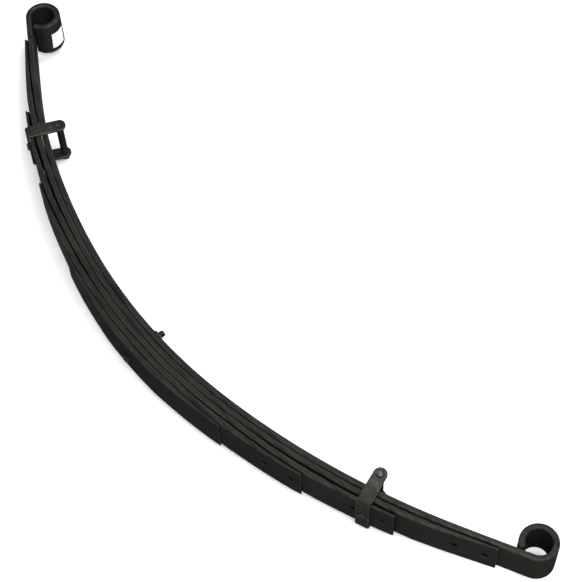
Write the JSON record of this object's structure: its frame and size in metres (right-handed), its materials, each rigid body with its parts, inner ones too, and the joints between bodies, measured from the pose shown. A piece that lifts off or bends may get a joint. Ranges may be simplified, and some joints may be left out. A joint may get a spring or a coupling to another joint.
{
  "type": "leaf spring",
  "caption": "Semi-elliptic multi-leaf suspension spring with rolled eyes, rebound clips and a centre bolt, lying on its side.",
  "frame": {"origin": "middle of the bounding box, at the lowest point of the spring as it lies on its side", "axes": "+X from the left eye to the right eye, +Y from the short leaves towards the eyes, +Z across the leaves. On the vehicle +Y points up and Z runs across the vehicle."},
  "size_m": [1.2072, 0.2876, 0.0849],
  "materials": {
    "leaf_paint": "satin black spring paint, worn bright along the edges",
    "clip_paint": "satin black paint over bent steel strap",
    "fastener": "thin black paint over zinc steel",
    "liner": "matte black nylon",
    "label": "matt white film, blank"
  },
  "bodies": {
    "leaf_pack": {"main_leaf": "leaf_paint", "leaf_2": "leaf_paint", "leaf_3": "leaf_paint", "leaf_4": "leaf_paint", "leaf_5": "leaf_paint", "left_clip_strap": "clip_paint", "left_clip_rivet": "clip_paint", "left_liner_2": "liner", "left_liner_3": "liner", "left_liner_4": "liner", "blank_label": "label"},
    "centre_clamp": {"centre_bolt": "fastener", "centre_nut": "fastener"},
    "right_clip": {"right_clip_strap": "clip_paint", "right_clip_rivet": "clip_paint", "right_liner_2": "liner", "right_liner_3": "liner", "right_liner_4": "liner"},
    "left_clip_pin": {"left_clip_bolt": "fastener", "left_clip_spacer": "fastener", "left_clip_nut": "fastener"},
    "right_clip_pin": {"right_clip_bolt": "fastener", "right_clip_spacer": "fastener", "right_clip_nut": "fastener"}
  },
  "joints": [
    {"name": "spring_flex", "type": "hinge", "parent": "leaf_pack", "child": "right_clip", "pos_m": [-0.00335, -0.114, 0.04445], "axis": [0, 0, -1], "range_deg": [0, 14], "stiffness_Nm_per_rad": 6700, "deforming": ["main_leaf", "leaf_2", "leaf_3", "leaf_4", "leaf_5", "left_liner_4", "right_liner_4"]},
    {"name": "centre_tilt", "type": "hinge", "parent": "leaf_pack", "child": "centre_clamp", "pos_m": [-0.00335, -0.114, 0.04445], "axis": [0, 0, -1], "range_deg": [0, 7]},
    {"name": "left_clip_pin_spin", "type": "hinge", "parent": "leaf_pack", "child": "left_clip_pin", "pos_m": [-0.37781, 0.01029, 0.04445], "axis": [0, 0, 1], "continuous": true},
    {"name": "right_clip_pin_spin", "type": "hinge", "parent": "right_clip", "child": "right_clip_pin", "pos_m": [0.37294, 0.00681, 0.04445], "axis": [0, 0, 1], "continuous": true}
  ],
  "couplings": [
    {"joint": "centre_tilt", "follows": "spring_flex", "ratio": 0.5}
  ]
}
